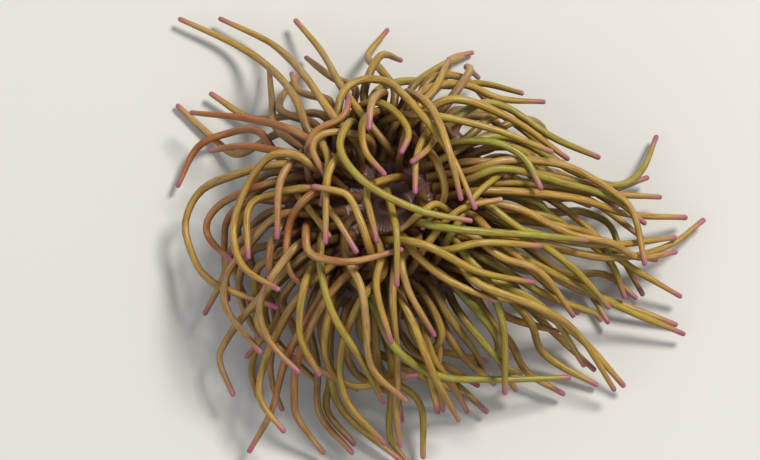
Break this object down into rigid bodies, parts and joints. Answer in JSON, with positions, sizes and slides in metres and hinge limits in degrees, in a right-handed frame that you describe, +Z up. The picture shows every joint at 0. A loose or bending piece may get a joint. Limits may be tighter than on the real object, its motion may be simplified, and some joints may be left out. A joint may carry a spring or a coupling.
{
  "type": "sea anemone",
  "caption": "Life-size still model of a snakelocks sea anemone: a short waisted column on a flat sole, under a combed mound of long slender tentacles with blunt pink-violet tips.",
  "frame": {"origin": "middle of the sole, on the floor it stands on", "axes": "+Z up through the mouth; +X towards the side to which the current has drawn the tentacles; +Y towards the far side of the view"},
  "size_m": [0.183, 0.1598, 0.0685],
  "materials": {
    "sole": "soft, moist, brown",
    "column": "soft, moist, brown-purple with fine upright furrows",
    "disc": "soft, moist, brown with fine rays",
    "tentacle": "soft, moist, slightly translucent olive to ochre",
    "tip": "soft, moist, pink-violet towards the end"
  },
  "bodies": {
    "root": {"pedal_disc": "sole", "column": "column", "collar": "column", "oral_disc": "disc", "mouth": "disc", "crown_01": "tentacle", "crown_02": "tentacle", "crown_03": "tentacle", "crown_04": "tentacle", "crown_05": "tentacle", "crown_06": "tentacle", "crown_07": "tentacle", "crown_08": "tentacle", "crown_09": "tentacle", "crown_10": "tentacle", "crown_11": "tentacle", "crown_12": "tentacle", "tentacle_01_middle": "tentacle", "tentacle_01_tip": "tip", "tentacle_02_middle": "tentacle", "tentacle_02_tip": "tip", "tentacle_03_middle": "tentacle", "tentacle_03_tip": "tip", "tentacle_04_middle": "tentacle", "tentacle_04_tip": "tip", "tentacle_05_middle": "tentacle", "tentacle_05_tip": "tip", "tentacle_06_middle": "tentacle", "tentacle_06_tip": "tip", "tentacle_07_middle": "tentacle", "tentacle_07_tip": "tip", "tentacle_08_middle": "tentacle", "tentacle_08_tip": "tip", "tentacle_09_middle": "tentacle", "tentacle_09_tip": "tip", "tentacle_10_middle": "tentacle", "tentacle_10_tip": "tip", "tentacle_11_middle": "tentacle", "tentacle_11_tip": "tip", "tentacle_12_middle": "tentacle", "tentacle_12_tip": "tip", "tentacle_13_middle": "tentacle", "tentacle_13_tip": "tip", "tentacle_14_middle": "tentacle", "tentacle_14_tip": "tip", "tentacle_15_middle": "tentacle", "tentacle_15_tip": "tip", "tentacle_16_middle": "tentacle", "tentacle_16_tip": "tip", "tentacle_17_middle": "tentacle", "tentacle_17_tip": "tip", "tentacle_18_middle": "tentacle", "tentacle_18_tip": "tip", "tentacle_19_middle": "tentacle", "tentacle_19_tip": "tip", "tentacle_20_middle": "tentacle", "tentacle_20_tip": "tip", "tentacle_21_middle": "tentacle", "tentacle_21_tip": "tip"}
  },
  "joints": []
}
